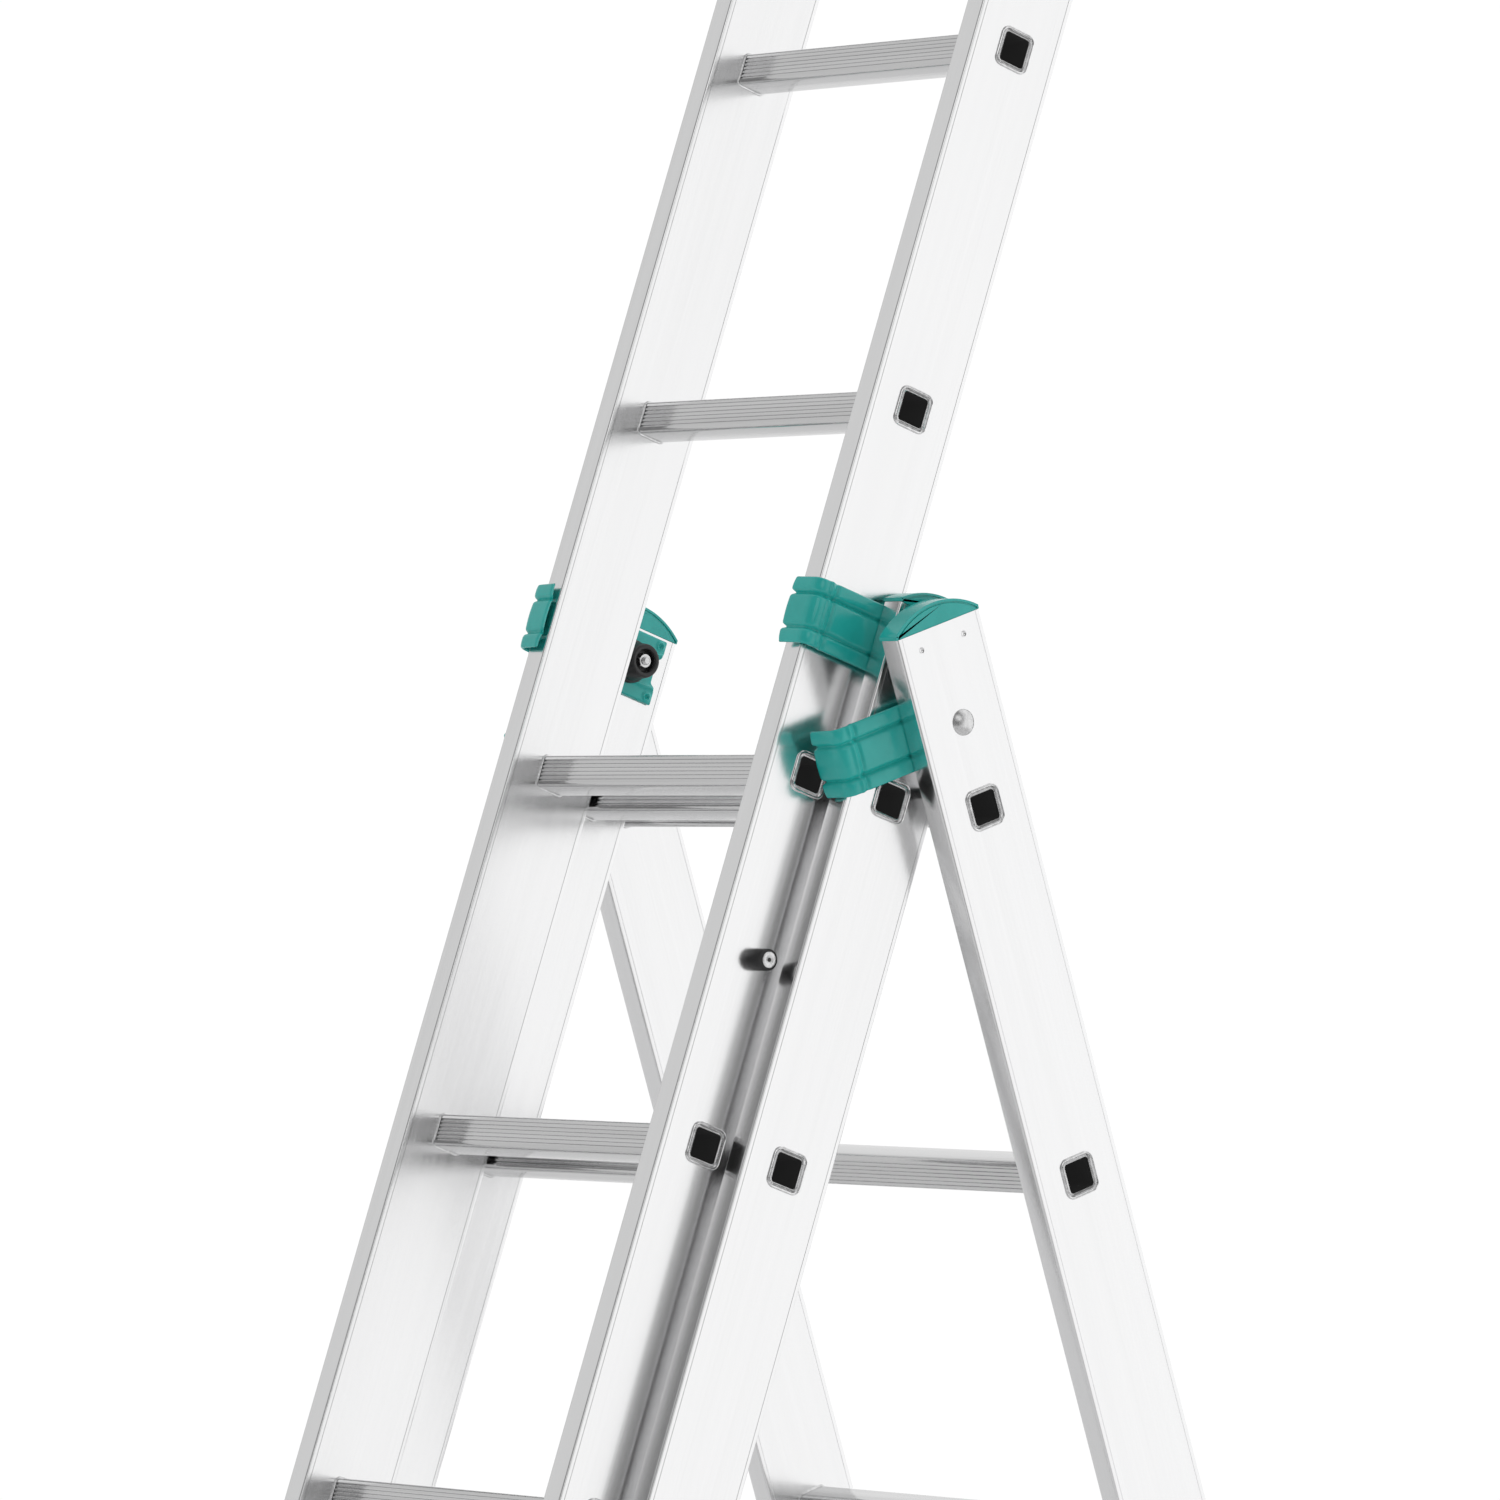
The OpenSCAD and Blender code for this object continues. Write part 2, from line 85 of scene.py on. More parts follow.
# --- node materials ---
class Nodes:
    """Short names for building a material's node tree."""

    def __init__(self, name, metallic=0.0, specular=0.5):
        self.mat = bpy.data.materials.new(name)
        self.mat.use_nodes = True
        self.tree = self.mat.node_tree
        self.shader = self.tree.nodes["Principled BSDF"]
        self.shader.inputs["Metallic"].default_value = metallic
        self.shader.inputs["Specular IOR Level"].default_value = specular
        self.coords = self.add("ShaderNodeTexCoord").outputs["Object"]

    def add(self, kind, **values):
        node = self.tree.nodes.new(kind)
        for key, value in values.items():
            if hasattr(node, key):
                setattr(node, key, value)
            else:
                node.inputs[key].default_value = value
        return node

    def link(self, out, to):
        self.tree.links.new(out, to)
        return to.node

    def stretched(self, scale, offset=0.0):
        node = self.add("ShaderNodeMapping")
        node.inputs["Scale"].default_value = scale
        node.inputs["Location"].default_value = (offset, offset * 0.7, offset * 1.3)
        self.link(self.coords, node.inputs["Vector"])
        return node.outputs["Vector"]

    def noise(self, scale, detail=3.0, offset=0.0):
        node = self.add("ShaderNodeTexNoise", Scale=1.0, Detail=detail, Roughness=0.6)
        self.link(self.stretched(scale, offset), node.inputs["Vector"])
        return node.outputs["Fac"]

    def ramp(self, value, low, high, start=0.3, end=0.7):
        node = self.add("ShaderNodeMapRange")
        for key, number in zip(("From Min", "From Max", "To Min", "To Max"), (start, end, low, high)):
            node.inputs[key].default_value = number
        self.link(value, node.inputs["Value"])
        return node.outputs["Result"]

    def tint(self, value, dark, light, start=0.3, end=0.7):
        node = self.add("ShaderNodeValToRGB")
        node.color_ramp.elements[0].position, node.color_ramp.elements[1].position = start, end
        node.color_ramp.elements[0].color = (*dark, 1)
        node.color_ramp.elements[1].color = (*light, 1)
        self.link(value, node.inputs["Fac"])
        return node.outputs["Color"]

    def combine(self, a, b, operation="ADD"):
        node = self.add("ShaderNodeMath", operation=operation)
        self.link(a, node.inputs[0])
        self.link(b, node.inputs[1])
        return node.outputs[0]

    def bump(self, height, strength, distance):
        node = self.add("ShaderNodeBump", Strength=strength, Distance=distance)
        self.link(height, node.inputs["Height"])
        self.link(node.outputs["Normal"], self.shader.inputs["Normal"])

    def finish(self, color, roughness):
        self.link(color, self.shader.inputs["Base Color"])
        self.link(roughness, self.shader.inputs["Roughness"])
        return self.mat


def grey(v):
    return (v, v, v * 1.004)


def extruded_metal(name, along, dark, light, rough, lines):
    """Drawn aluminium: fine die lines along the extrusion, soft stains, and slight waviness."""
    n = Nodes(name, metallic=1.0)
    fine = [900.0] * 3
    broad = [90.0] * 3
    stain = [9.0] * 3
    for scales, slow in ((fine, 3.0), (broad, 1.2), (stain, 2.2)):
        scales["xyz".index(along)] = slow
    hair, band, blot = n.noise(fine), n.noise(broad, offset=3.0), n.noise(stain, offset=7.0)
    mixed = n.combine(n.ramp(hair, 0.0, 0.35, 0.25, 0.75), n.ramp(band, 0.0, 0.65), "ADD")
    shade = n.combine(mixed, n.ramp(blot, 0.75, 1.0), "MULTIPLY")
    n.bump(n.combine(hair, n.ramp(band, 0.0, 2.0), "ADD"), lines, 0.00004)
    return n.finish(n.tint(shade, grey(dark), grey(light), 0.0, 1.0),
                    n.ramp(n.combine(band, blot, "ADD"), rough - 0.04, rough + 0.05, 0.7, 1.3))


def moulded(name, dark, light, rough, grain=0.15, specular=0.5):
    """Moulded plastic or rubber: a fine pebbled skin with slow changes of colour and gloss."""
    n = Nodes(name, specular=specular)
    skin, cloud = n.noise((2600.0,) * 3, 2.0), n.noise((45.0,) * 3, 3.0, 2.0)
    n.bump(n.combine(skin, n.ramp(cloud, 0.0, 0.6), "ADD"), grain, 0.00006)
    return n.finish(n.tint(cloud, dark, light), n.ramp(skin, rough - 0.05, rough + 0.07))


def plated(name, dark, light, rough):
    """Zinc plating: crystalline mottling and tumbling marks."""
    n = Nodes(name, metallic=1.0)
    cell = n.add("ShaderNodeTexVoronoi", Scale=1.0)
    n.link(n.stretched((700.0,) * 3), cell.inputs["Vector"])
    cloud = n.noise((260.0,) * 3, 4.0, 5.0)
    n.bump(n.combine(cloud, n.ramp(cell.outputs["Distance"], 0.0, 0.4, 0.0, 0.6), "ADD"), 0.3, 0.00008)
    gloss = n.ramp(cell.outputs["Distance"], rough - 0.06, rough + 0.08, 0.0, 0.7)
    return n.finish(n.tint(cloud, dark, light), gloss)


def woven(name, dark, light):
    """Polyester webbing: warp ribs along the strap crossed by weft, in a twill."""
    n = Nodes(name, specular=0.3)
    waves = []
    for axis, scale in (("Z", 190.0), ("Y", 150.0)):
        wave = n.add("ShaderNodeTexWave", bands_direction=axis, Scale=scale)
        n.link(n.coords, wave.inputs["Vector"])
        waves.append(wave.outputs["Fac"])
    weave = n.combine(*waves, "MULTIPLY")
    fuzz = n.noise((1500.0,) * 3, 2.0)
    n.bump(n.combine(weave, n.ramp(fuzz, 0.0, 0.3), "ADD"), 0.6, 0.0004)
    n.shader.inputs["Sheen Weight"].default_value = 0.3
    return n.finish(n.tint(weave, dark, light, 0.1, 0.8), n.ramp(fuzz, 0.75, 0.9))


STILE_METAL = extruded_metal("stile_aluminium", "z", 0.86, 0.93, 0.20, 0.25)
BAR_METAL = extruded_metal("bar_aluminium", "x", 0.86, 0.93, 0.22, 0.25)
RUNG_METAL = extruded_metal("rung_aluminium", "x", 0.66, 0.84, 0.15, 0.5)
RIM_METAL = plated("swaged_rim", grey(0.66), grey(0.92), 0.12)
# Painted shade: the bore is drawn near-black to stand for the shade deep inside the tube, not for dark metal
BORE_PAINTED_SHADE = moulded("rung_bore_painted_shade", (0.010,) * 3, (0.020,) * 3, 0.45)
TEAL = moulded("teal_plastic", (0.020, 0.500, 0.455), (0.032, 0.560, 0.510), 0.17, 0.06,
               specular=0.55)
bore_shade_and_glow_shader = next(n for n in BORE_PAINTED_SHADE.node_tree.nodes if n.type == "BSDF_PRINCIPLED")
bore_shade_and_glow_shader.inputs["Emission Color"].default_value = (1, 1, 1, 1)
# Painted light: a faint white glow stands in for the light that finds its way along the tube
bore_shade_and_glow_shader.inputs["Emission Strength"].default_value = 0.010
BLACK = moulded("black_plastic", (0.018, 0.018, 0.019), (0.028, 0.028, 0.029), 0.38, 0.25)
RUBBER = moulded("black_rubber", (0.018, 0.018, 0.018), (0.032, 0.032, 0.031), 0.6, 0.5)
ZINC = plated("zinc_steel", grey(0.62), grey(0.82), 0.24)
WEB = woven("webbing", (0.012, 0.012, 0.014), (0.055, 0.055, 0.06))
THREAD = moulded("stitching", (0.09,) * 3, (0.14,) * 3, 0.7)


# --- outlines, all counter-clockwise ---
def outline(a, b, r, dents=None, width=0.0, depth=0.0, arc=5, grow=0.0):
    """A rounded rectangle a by b; dents maps a side (0 = +a, 1 = +b, 2 = -a, 3 = -b) to its grooves."""
    dents = dents or {}
    out = []
    for side in range(4):
        half, reach = (a / 2, b / 2 - r) if side % 2 == 0 else (b / 2, a / 2 - r)
        turn = Matrix.Rotation(side * math.pi / 2, 2)
        line = [(half, -reach)]
        for place in dents.get(side, ()):
            line += [(half, place - width / 2), (half - depth, place - width / 4),
                     (half - depth, place + width / 4), (half, place + width / 2)]
        line.append((half, reach))
        next_half = b / 2 if side % 2 == 0 else a / 2
        for i in range(1, arc):
            angle = math.pi / 2 * i / arc
            line.append((half - r + r * math.cos(angle), next_half - r + r * math.sin(angle)))
        out += [turn @ Vector(p) for p in line]
    if not grow:
        return out
    return [p + grow * q for p, q in zip(out, normals_of(out))]


def normals_of(points):
    out = []
    for i, p in enumerate(points):
        edge = points[(i + 1) % len(points)] - points[i - 1]
        out.append(Vector((edge.y, -edge.x)).normalized())
    return out


def even_square(size, r, count):
    """Points and outward normals at even steps round a rounded square."""
    flat, arc = size - 2 * r, math.pi / 2 * r
    side = flat + arc
    out = []
    for i in range(count):
        k, d = divmod(i * 4 * side / count, side)
        turn = Matrix.Rotation(k * math.pi / 2, 2)
        if d <= flat:
            p, q = Vector((size / 2, d - flat / 2)), Vector((1, 0))
        else:
            angle = (d - flat) / r
            q = Vector((math.cos(angle), math.sin(angle)))
            p = Vector((size / 2 - r, flat / 2)) + r * q
        out.append((turn @ p, turn @ q))
    return out


def circle(r, count=48):
    return [Vector((r * math.cos(2 * math.pi * i / count), r * math.sin(2 * math.pi * i / count)))
            for i in range(count)]


def bevelled(points, r, steps=3):
    """A polygon with each corner rounded to r by a short curve."""
    out = []
    for i, p in enumerate(points):
        p, a, b = Vector(p), Vector(points[i - 1]), Vector(points[(i + 1) % len(points)])
        start = p + (a - p).normalized() * min(r, (a - p).length / 2.1)
        end = p + (b - p).normalized() * min(r, (b - p).length / 2.1)
        for k in range(steps + 1):
            t = k / steps
            out.append(start * (1 - t) ** 2 + 2 * p * t * (1 - t) + end * t * t)
    return out


# --- meshes ---
class Shape:
    """Collects lofted shells in a section's frame and makes one object of them."""

    def __init__(self):
        self.verts, self.faces, self.mats = [], [], []

    def loft(self, rings, mat=0, ends=True, closed=False, flip=False):
        """Rings of points with the same count, joined in order; ends closes them with flat faces."""
        count, base = len(rings[0]), len(self.verts)
        for ring in rings:
            self.verts += [Vector(p) for p in ring]
        span = len(rings) if closed else len(rings) - 1
        made = []
        for i in range(span):
            a, b = base + i * count, base + (i + 1) % len(rings) * count
            for k in range(count):
                n = (k + 1) % count
                made.append((a + k, a + n, b + n, b + k))
        if ends and not closed:
            made.append(tuple(range(base + count - 1, base - 1, -1)))
            made.append(tuple(range(base + (len(rings) - 1) * count, base + len(rings) * count)))
        self.faces += [f[::-1] for f in made] if flip else made
        self.mats += [mat] * len(made)
        return self

    def along_x(self, sections, mat=0, ends=True, closed=False, at=(0.0, 0.0), flip=False):
        """sections holds (x, outline in w-s) pairs."""
        rings = [[(x, p[0] + at[0], p[1] + at[1]) for p in shape] for x, shape in sections]
        return self.loft(rings, mat, ends, closed, flip)

    def along_s(self, sections, mat=0, ends=True, at=(0.0, 0.0), flip=False):
        """sections holds (s, outline in x-w) pairs."""
        rings = [[(p[0] + at[0], p[1] + at[1], s) for p in shape] for s, shape in sections]
        return self.loft(rings, mat, ends, flip=flip)

    def turned(self, profile, at=(0.0, 0.0), mat=0, count=48):
        """A lathe round an axis along x: profile holds (x, radius) pairs, from low x to high x."""
        return self.along_x([(x, circle(max(r, 0.01), count)) for x, r in profile], mat, at=at)

    def mirrored(self):
        """The same shape on the other side as well."""
        base = len(self.verts)
        self.verts += [Vector((-v.x, v.y, v.z)) for v in self.verts]
        self.faces += [tuple(base + i for i in reversed(f)) for f in self.faces]
        self.mats += list(self.mats)
        return self

    def flipped(self):
        """The same shape on the other side instead."""
        out = Shape()
        out.verts = [Vector((-v.x, v.y, v.z)) for v in self.verts]
        out.faces = [tuple(reversed(f)) for f in self.faces]
        out.mats = list(self.mats)
        return out

    def build(self, name, section, materials, slot, *nodes, body=None, sharp=32, cut=None, ride=True):
        mesh = bpy.data.meshes.new(name)
        mesh.from_pydata([v * MM for v in self.verts], [], self.faces)
        for m in materials:
            mesh.materials.append(m)
        mesh.polygons.foreach_set("material_index", self.mats)
        obj = bpy.data.objects.new(name, mesh)
        bpy.context.collection.objects.link(obj)
        obj.matrix_world = AT[section]
        if cut:
            cut.subtract_from(obj)
            mesh = obj.data
        tidy_normals(mesh, sharp)
        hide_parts(*(nodes or (name,)))
        if ride:
            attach(obj, body or BODY[section])
        return obj

    def subtract_from(self, obj):
        mesh = bpy.data.meshes.new("cutter")
        mesh.from_pydata([v * MM for v in self.verts], [], self.faces)
        cutter = bpy.data.objects.new("cutter", mesh)
        bpy.context.collection.objects.link(cutter)
        cutter.matrix_world = obj.matrix_world
        modifier = obj.modifiers.new("cut", "BOOLEAN")
        modifier.operation, modifier.solver, modifier.object = "DIFFERENCE", "EXACT", cutter
        bpy.context.view_layer.update()
        cut_mesh = bpy.data.meshes.new_from_object(obj.evaluated_get(bpy.context.evaluated_depsgraph_get()))
        obj.modifiers.clear()
        obj.data = cut_mesh
        bpy.data.objects.remove(cutter)


def tidy_normals(mesh, sharp):
    """Smooth shading between close angles; broad flat faces keep their own normal."""
    bm = bmesh.new()
    bm.from_mesh(mesh)
    bmesh.ops.remove_doubles(bm, verts=bm.verts, dist=1e-7)
    bm.normal_update()
    for f in bm.faces:
        f.smooth = len(f.verts) <= 4 and max(abs(c) for c in f.normal) < 0.9999
    bm.to_mesh(mesh)
    bm.free()
    mesh.set_sharp_from_angle(angle=math.radians(sharp))


def rung_s(i):
    return -FIRST_RUNG - i * PITCH


# --- stiles ---
GROOVE_IN = 4.2         # from the stile's edge to the fine line on its web
GROOVE_W, GROOVE_D = 0.9, 0.22
DIMPLE_S, DIMPLE_W, DIMPLE_R, DIMPLE_OUT = -13.3, 20.0, 3.0, 1.9


def stile_outline(inset=0.0, groove=GROOVE_D):
    places = [-(HALF - GROOVE_IN), HALF - GROOVE_IN]
    r = max(STILE_R - inset, 0.4)
    return outline(STILE_W - 2 * inset, STILE_DEPTH - 2 * inset, r, {0: places, 2: places},
                   GROOVE_W, groove, 6)


def stile(kind):
    length = LENGTH[kind]
    x = WIDTH[kind] / 2 - STILE_W / 2
    outer, inner = stile_outline(), stile_outline(STILE_WALL, 0.0)
    edge = stile_outline(0.25)
    shape = Shape()
    rings = [(0.25 - length, outer), (-0.25, outer), (0, edge), (0, inner), (-length, inner), (-length, edge)]
    shape.loft([[(p.x + x, p.y, s) for p in ring] for s, ring in rings], closed=True)
    cutter = Shape()
    hole = outline(RUNG, RUNG, RUNG_R, arc=6, grow=0.05)
    for i in range(RUNGS):
        cutter.along_x([(x - STILE_W, hole), (x + STILE_W, hole)], at=(0, rung_s(i)))
    for w in (-DIMPLE_W, DIMPLE_W):
        ball = [(DIMPLE_R * math.sin(a), DIMPLE_R * math.cos(a))
                for a in (math.pi * (k / 14 - 0.5) for k in range(15))]
        cutter.turned([(x + STILE_W / 2 + DIMPLE_OUT + d, r) for d, r in ball], (w, DIMPLE_S), count=28)
    return shape, cutter


for kind in ("upper", "middle", "rear"):
    for side in ("right", "left"):
        shape, cutter = stile(kind)
        if side == "left":
            shape, cutter = shape.flipped(), cutter.flipped()
        shape.build(f"{kind}_stile_{side}", kind, [STILE_METAL], "stile_aluminium", cut=cutter)

# --- rungs ---
FLUTES = (-7.5, -4.5, -1.5, 1.5, 4.5, 7.5)
FLUTE_W, FLUTE_D = 1.5, 0.85
KNURL_COUNT = 152       # points round a swaged rim; every other one stands proud
KNURL_RISE = 0.34


def rung_outline(depth=FLUTE_D, grow=0.0):
    return outline(RUNG, RUNG, RUNG_R, {0: FLUTES, 2: FLUTES}, FLUTE_W, depth, 6, grow)


def rim(shape, face, sign, s):
    """The swaged end: a smooth outer bead round a knurled ring that slopes into the bore."""
    base = even_square(RUNG, RUNG_R, KNURL_COUNT)
    bead = [(RIM, -0.3, 0), (RIM, 0.5, 0), (RIM - 0.25, 1.05, 0), (RIM - 0.6, 1.25, 0),
            (RIM - 1.0, 1.05, 0), (RIM - 1.2, 0.3, 0), (RIM - 1.6, 0.3, 0)]
    knurl = [(1.0, 0.95, 1), (0.2, 1.0, 1), (-0.6, 0.9, 1), (-1.1, 0.6, 1)]
    bore = [(-RUNG_WALL, 0.1, 0), (-RUNG_WALL, -2.0, 0), (-0.1, -2.0, 0)]
    rings = []
    for grow, out, knurled in bead + knurl + bore:
        ring = []
        for k, (p, q) in enumerate(base):
            rise = KNURL_RISE * (1 if k % 2 else -1) * knurled
            at = p + q * grow
            ring.append((sign * (face + out + rise), at.x, at.y + s))
        rings.append(ring)
    shape.loft(rings, mat=1, closed=True, flip=sign > 0)


def collar(shape, face, sign, s):
    """The bead pressed up against the stile's inner face."""
    profile = [(-0.3, -0.05), (1.0, -0.05), (1.2, 0.3), (1.0, 0.7), (0.5, 0.9), (-0.3, 0.95)]
    rings = [[(sign * (face - out), p.x, p.y + s) for p in rung_outline(0.0, grow)] for grow, out in profile]
    shape.loft(rings, mat=1, closed=True, flip=sign < 0)


def rung(kind, i):
    half = WIDTH[kind] / 2
    s = rung_s(i)
    shape = Shape()
    body = rung_outline()
    shape.along_x([(-half, body), (half, body)], ends=False, at=(0, s))
    bore = outline(RUNG - 2 * RUNG_WALL, RUNG - 2 * RUNG_WALL, RUNG_R - RUNG_WALL, arc=6)
    shape.along_x([(-half, bore), (half, bore)], mat=2, ends=False, at=(0, s), flip=True)
    for sign in (1, -1):
        rim(shape, half, sign, s)
        collar(shape, half - STILE_W, sign, s)
    return shape


for kind in ("upper", "middle", "rear"):
    for i in range(RUNGS):
        rung(kind, i).build(f"{kind}_rung_{i + 1}", kind, [RUNG_METAL, RIM_METAL, BORE_PAINTED_SHADE], "rung_aluminium")

# --- end caps ---
CAP_BASE, CAP_ARCH = 3.0, 13.5
CAP_R = (HALF * HALF + CAP_ARCH * CAP_ARCH) / (2 * CAP_ARCH)
CAP_GROOVE = 1.1        # the groove inside the arched band
CAP_PLUG = 20.0         # the plug reaches this far into the stile
PLUG_GAP = 0.3


def cap_outline(inset):
    """The arched profile in w-s."""
    sweep = math.asin(HALF / CAP_R)
    centre = CAP_BASE + CAP_ARCH - CAP_R
    points = [Vector((-HALF - 0.6 + inset, 0)), Vector((HALF - inset, 0))]
    for k in range(33):
        a = sweep * (1 - 2 * k / 32)
        points.append(Vector(((CAP_R - inset) * math.sin(a), centre + (CAP_R - inset) * math.cos(a))))
    points.append(Vector((-HALF - 0.6 + inset, CAP_BASE - 0.4)))
    return points


def cap(kind):
    x = WIDTH[kind] / 2 - STILE_W / 2
    half = STILE_W / 2 + 0.35
    side = [(half - 0.2, 3.2), (half - CAP_GROOVE, 2.9), (half - CAP_GROOVE, 1.9), (half, 1.8), (half, 0.25),
            (half - 0.35, 0.0)]
    rings = [(x - out, cap_outline(inset)) for out, inset in side]
    rings += [(x + out, cap_outline(inset)) for out, inset in reversed(side)]
    shape = Shape().along_x(rings)
    inner = outline(STILE_W - 2 * (STILE_WALL + PLUG_GAP), STILE_DEPTH - 2 * (STILE_WALL + PLUG_GAP), 0.8)
    shape.along_s([(-CAP_PLUG, inner), (0.5, inner)], at=(x, 0))
    return shape


cap("upper").mirrored().build("upper_caps", "upper", [TEAL], "teal_plastic")
for kind in ("middle", "rear"):
    cap(kind).build(f"{kind}_cap_right", kind, [TEAL], "teal_plastic")
    cap(kind).flipped().build(f"{kind}_cap_left", kind, [TEAL], "teal_plastic")

# --- guide brackets ---
GUIDE_H, GUIDE_T, LIP_T = 50.0, 3.5, 2.8
GUIDE_REACH, PLATE_BACK = 96.4, 28.5
LIP_LEN = 28.0
LIP_LEAN = 1.6          # the lip's end stands this far forwards
GUIDE_S = {"middle": -27.5, "rear": -73.7}
CORNER_R = 8.0
BAND_AT = 13.0          # the two grooves across the bracket, from its middle
BAND_DEPTH, BAND_W = 2.3, 1.5
PILLOW = 0.8            # the bands swell between the grooves
BEAD_AT, BEAD_RISE, CHANNEL_AT, CHANNEL_DEPTH, UPRIGHT_W = -86.5, 1.3, -81.5, 1.5, 1.5
BACK_TRIM = {"middle": 0.0, "rear": 3.0}  # the plate's back edge stands in by this much
EYE_AT = (23.0, 20.0)   # small raised eyes on the plate's rear corners


def hump(d, width):
    return math.exp(-(d / width) ** 2)


def guide_path(x0):
    """Outer line seen from above, from the rear edge to the lip: (x, w, normal x, normal w)."""
    front = -GUIDE_REACH - LIP_T
    steps = []
    w = PLATE_BACK
    while w > front + CORNER_R:
        steps.append((x0, w, 1.0, 0.0))
        w -= 0.75 if BEAD_AT - 6 < w < CHANNEL_AT + 6 or w > 15 else 2.4
    for k in range(9):
        a = math.pi / 2 * k / 8
        steps.append((x0 - CORNER_R + CORNER_R * math.cos(a), front + CORNER_R - CORNER_R * math.sin(a),
                      math.cos(a), -math.sin(a)))
    run = LIP_LEN - CORNER_R
    for k in range(1, 17):
        steps.append((x0 - CORNER_R - run * k / 16, front, 0.0, -1.0))
    return steps


def guide(kind):
    x0 = WIDTH[kind] / 2 - STILE_W
    s0 = GUIDE_S[kind]
    path = guide_path(x0)
    rows = 68
    outer, inner = [], []
    for j in range(rows + 1):
        v = -1 + 2 * j / rows
        s = GUIDE_H / 2 * v
        band = hump(s - BAND_AT, BAND_W) + hump(s + BAND_AT, BAND_W)
        edge = max(0.0, abs(s) - (GUIDE_H / 2 - 1.0))
        roll = 1.0 - math.sqrt(max(0.0, 1.0 - edge * edge))
        tip_pull = 2.8 * band + 1.6 * max(0.0, abs(s) - BAND_AT - 2) / 10
        from_middle = s / BAND_AT if abs(s) < BAND_AT else (abs(s) - 19) / 6
        pillow = PILLOW * (1 - min(1.0, from_middle * from_middle))
        back_pull = BACK_TRIM[kind] + 4.5 / (1 + math.exp((abs(s) - 10.5) * 1.6)) + 2.0 * band
        out_row, in_row = [], []
        for i, (x, w, nx, nw) in enumerate(path):
            if nw == -1.0:      # pull the lip's end in, band by band
                t = (x0 - CORNER_R - x) / (LIP_LEN - CORNER_R)
                x += tip_pull * t
                w -= LIP_LEAN * t
            if nx == 1.0 and w > 0:
                w -= back_pull * w / PLATE_BACK
            rise = pillow * min(1.0, max(0.0, (-HALF - 1.0 - w) / 8)) - BAND_DEPTH * band
            if nx == 1.0:
                rise += BEAD_RISE * hump(w - BEAD_AT, UPRIGHT_W)
                rise -= CHANNEL_DEPTH * hump(w - CHANNEL_AT, UPRIGHT_W)
                if w > -HALF - 1.0:     # flat against the stile, apart from the grooves
                    rise = min(rise, 0.0)
            thick = GUIDE_T if nx == 1.0 else LIP_T
            ends = min(i, len(path) - 1 - i)
            round_end = 0.7 * (1 - min(ends, 1))
            bevel = roll + round_end
            swell = 0.0
            if nx == 1.0 and w > 0:
                eye = math.hypot(w - EYE_AT[0], abs(s) - EYE_AT[1])
                swell = 1.1 * hump(eye - 2.6, 0.9) - 1.4 * hump(eye, 1.5)
            out_row.append((x + nx * (rise - bevel), w + nw * (rise - bevel), s + s0))
            depth = rise - thick + bevel - swell
            in_row.append((x + nx * depth, w + nw * depth, s + s0))
        outer.append(out_row)
        inner.append(in_row)
    return Shape().loft([o + n[::-1] for o, n in zip(outer, inner)])


for kind in ("middle", "rear"):
    guide(kind).build(f"{kind}_guide_right", kind, [TEAL], "teal_plastic", sharp=60)
    guide(kind).flipped().build(f"{kind}_guide_left", kind, [TEAL], "teal_plastic", sharp=60)

# --- slide blocks ---
BLOCK_TIP = WIDTH["middle"] / 2 - STILE_W - 24
BLOCK_FACE = WIDTH["middle"] / 2 - STILE_W - GUIDE_T
NUT_T = 5.0


def slide_block():
    at = (0, GUIDE_S["middle"])
    shape = Shape()
    shape.turned([(BLOCK_TIP + NUT_T + 1, 8.4), (BLOCK_TIP + 1.2, 8.6), (BLOCK_TIP + 0.3, 9.2),
                  (BLOCK_TIP, 10.2), (BLOCK_TIP, 11.4), (BLOCK_TIP + 0.5, 12.3),
                  (BLOCK_TIP + 1.5, 12.8), (BLOCK_FACE - 5.2, 14.3), (BLOCK_FACE - 3.9, 14.8),
                  (BLOCK_FACE - 3.3, 15.6), (BLOCK_FACE - 2.8, 16.2),
                  (BLOCK_FACE - 2.0, 16.5), (BLOCK_FACE, 16.5)], at, count=64)
    tail = bevelled([(0, -16.5), (12, -11.3), (4, 14), (-12, 11.3), (-30, -12), (-28, -22)], 3.0)
    thin = [p * 0.985 for p in tail]
    shape.along_x([(BLOCK_FACE - 3.2, thin), (BLOCK_FACE - 2.8, tail), (BLOCK_FACE, tail)], at=at)
    return shape


slide_block().build("slide_block_right", "middle", [BLACK], "black_plastic")
slide_block().flipped().build("slide_block_left", "middle", [BLACK], "black_plastic")

# --- bolts and nuts ---
BOLT_R, SLIM_R, HEAD_R, HEAD_H = 4.0, 3.0, 9.5, 3.6


def thread(x0, x1, r, pitch=1.25):
    """Profile of a threaded end from x0 to x1, as rings of crest and root."""
    out = [(x0, r - 0.9), (x0 + 0.5, r - 0.3)]
    turns = int((x1 - x0 - 0.8) / pitch)
    for k in range(turns):
        x = x0 + 0.6 + k * pitch
        out += [(x, r - 0.55), (x + pitch / 2, r - 0.02)]
    return out + [(x1, r - 0.3)]


def carriage_bolt(face, end, at, r):
    ball = (HEAD_R ** 2 + HEAD_H ** 2) / (2 * HEAD_H)
    sweep = math.asin(HEAD_R / ball)
    dome = [(face + HEAD_H - ball + ball * math.cos(a), ball * math.sin(a))
            for a in (sweep * (1 - k / 10) for k in range(11))]
    rim_edge = [(face, HEAD_R - 0.5), (face + 0.02, HEAD_R - 0.1), (face + 0.25, HEAD_R + 0.1)]
    shank = thread(end, end + 11, r) + [(end + 11.3, r), (face - 0.1, r)]
    return Shape().turned(shank + rim_edge + dome, at, count=56)


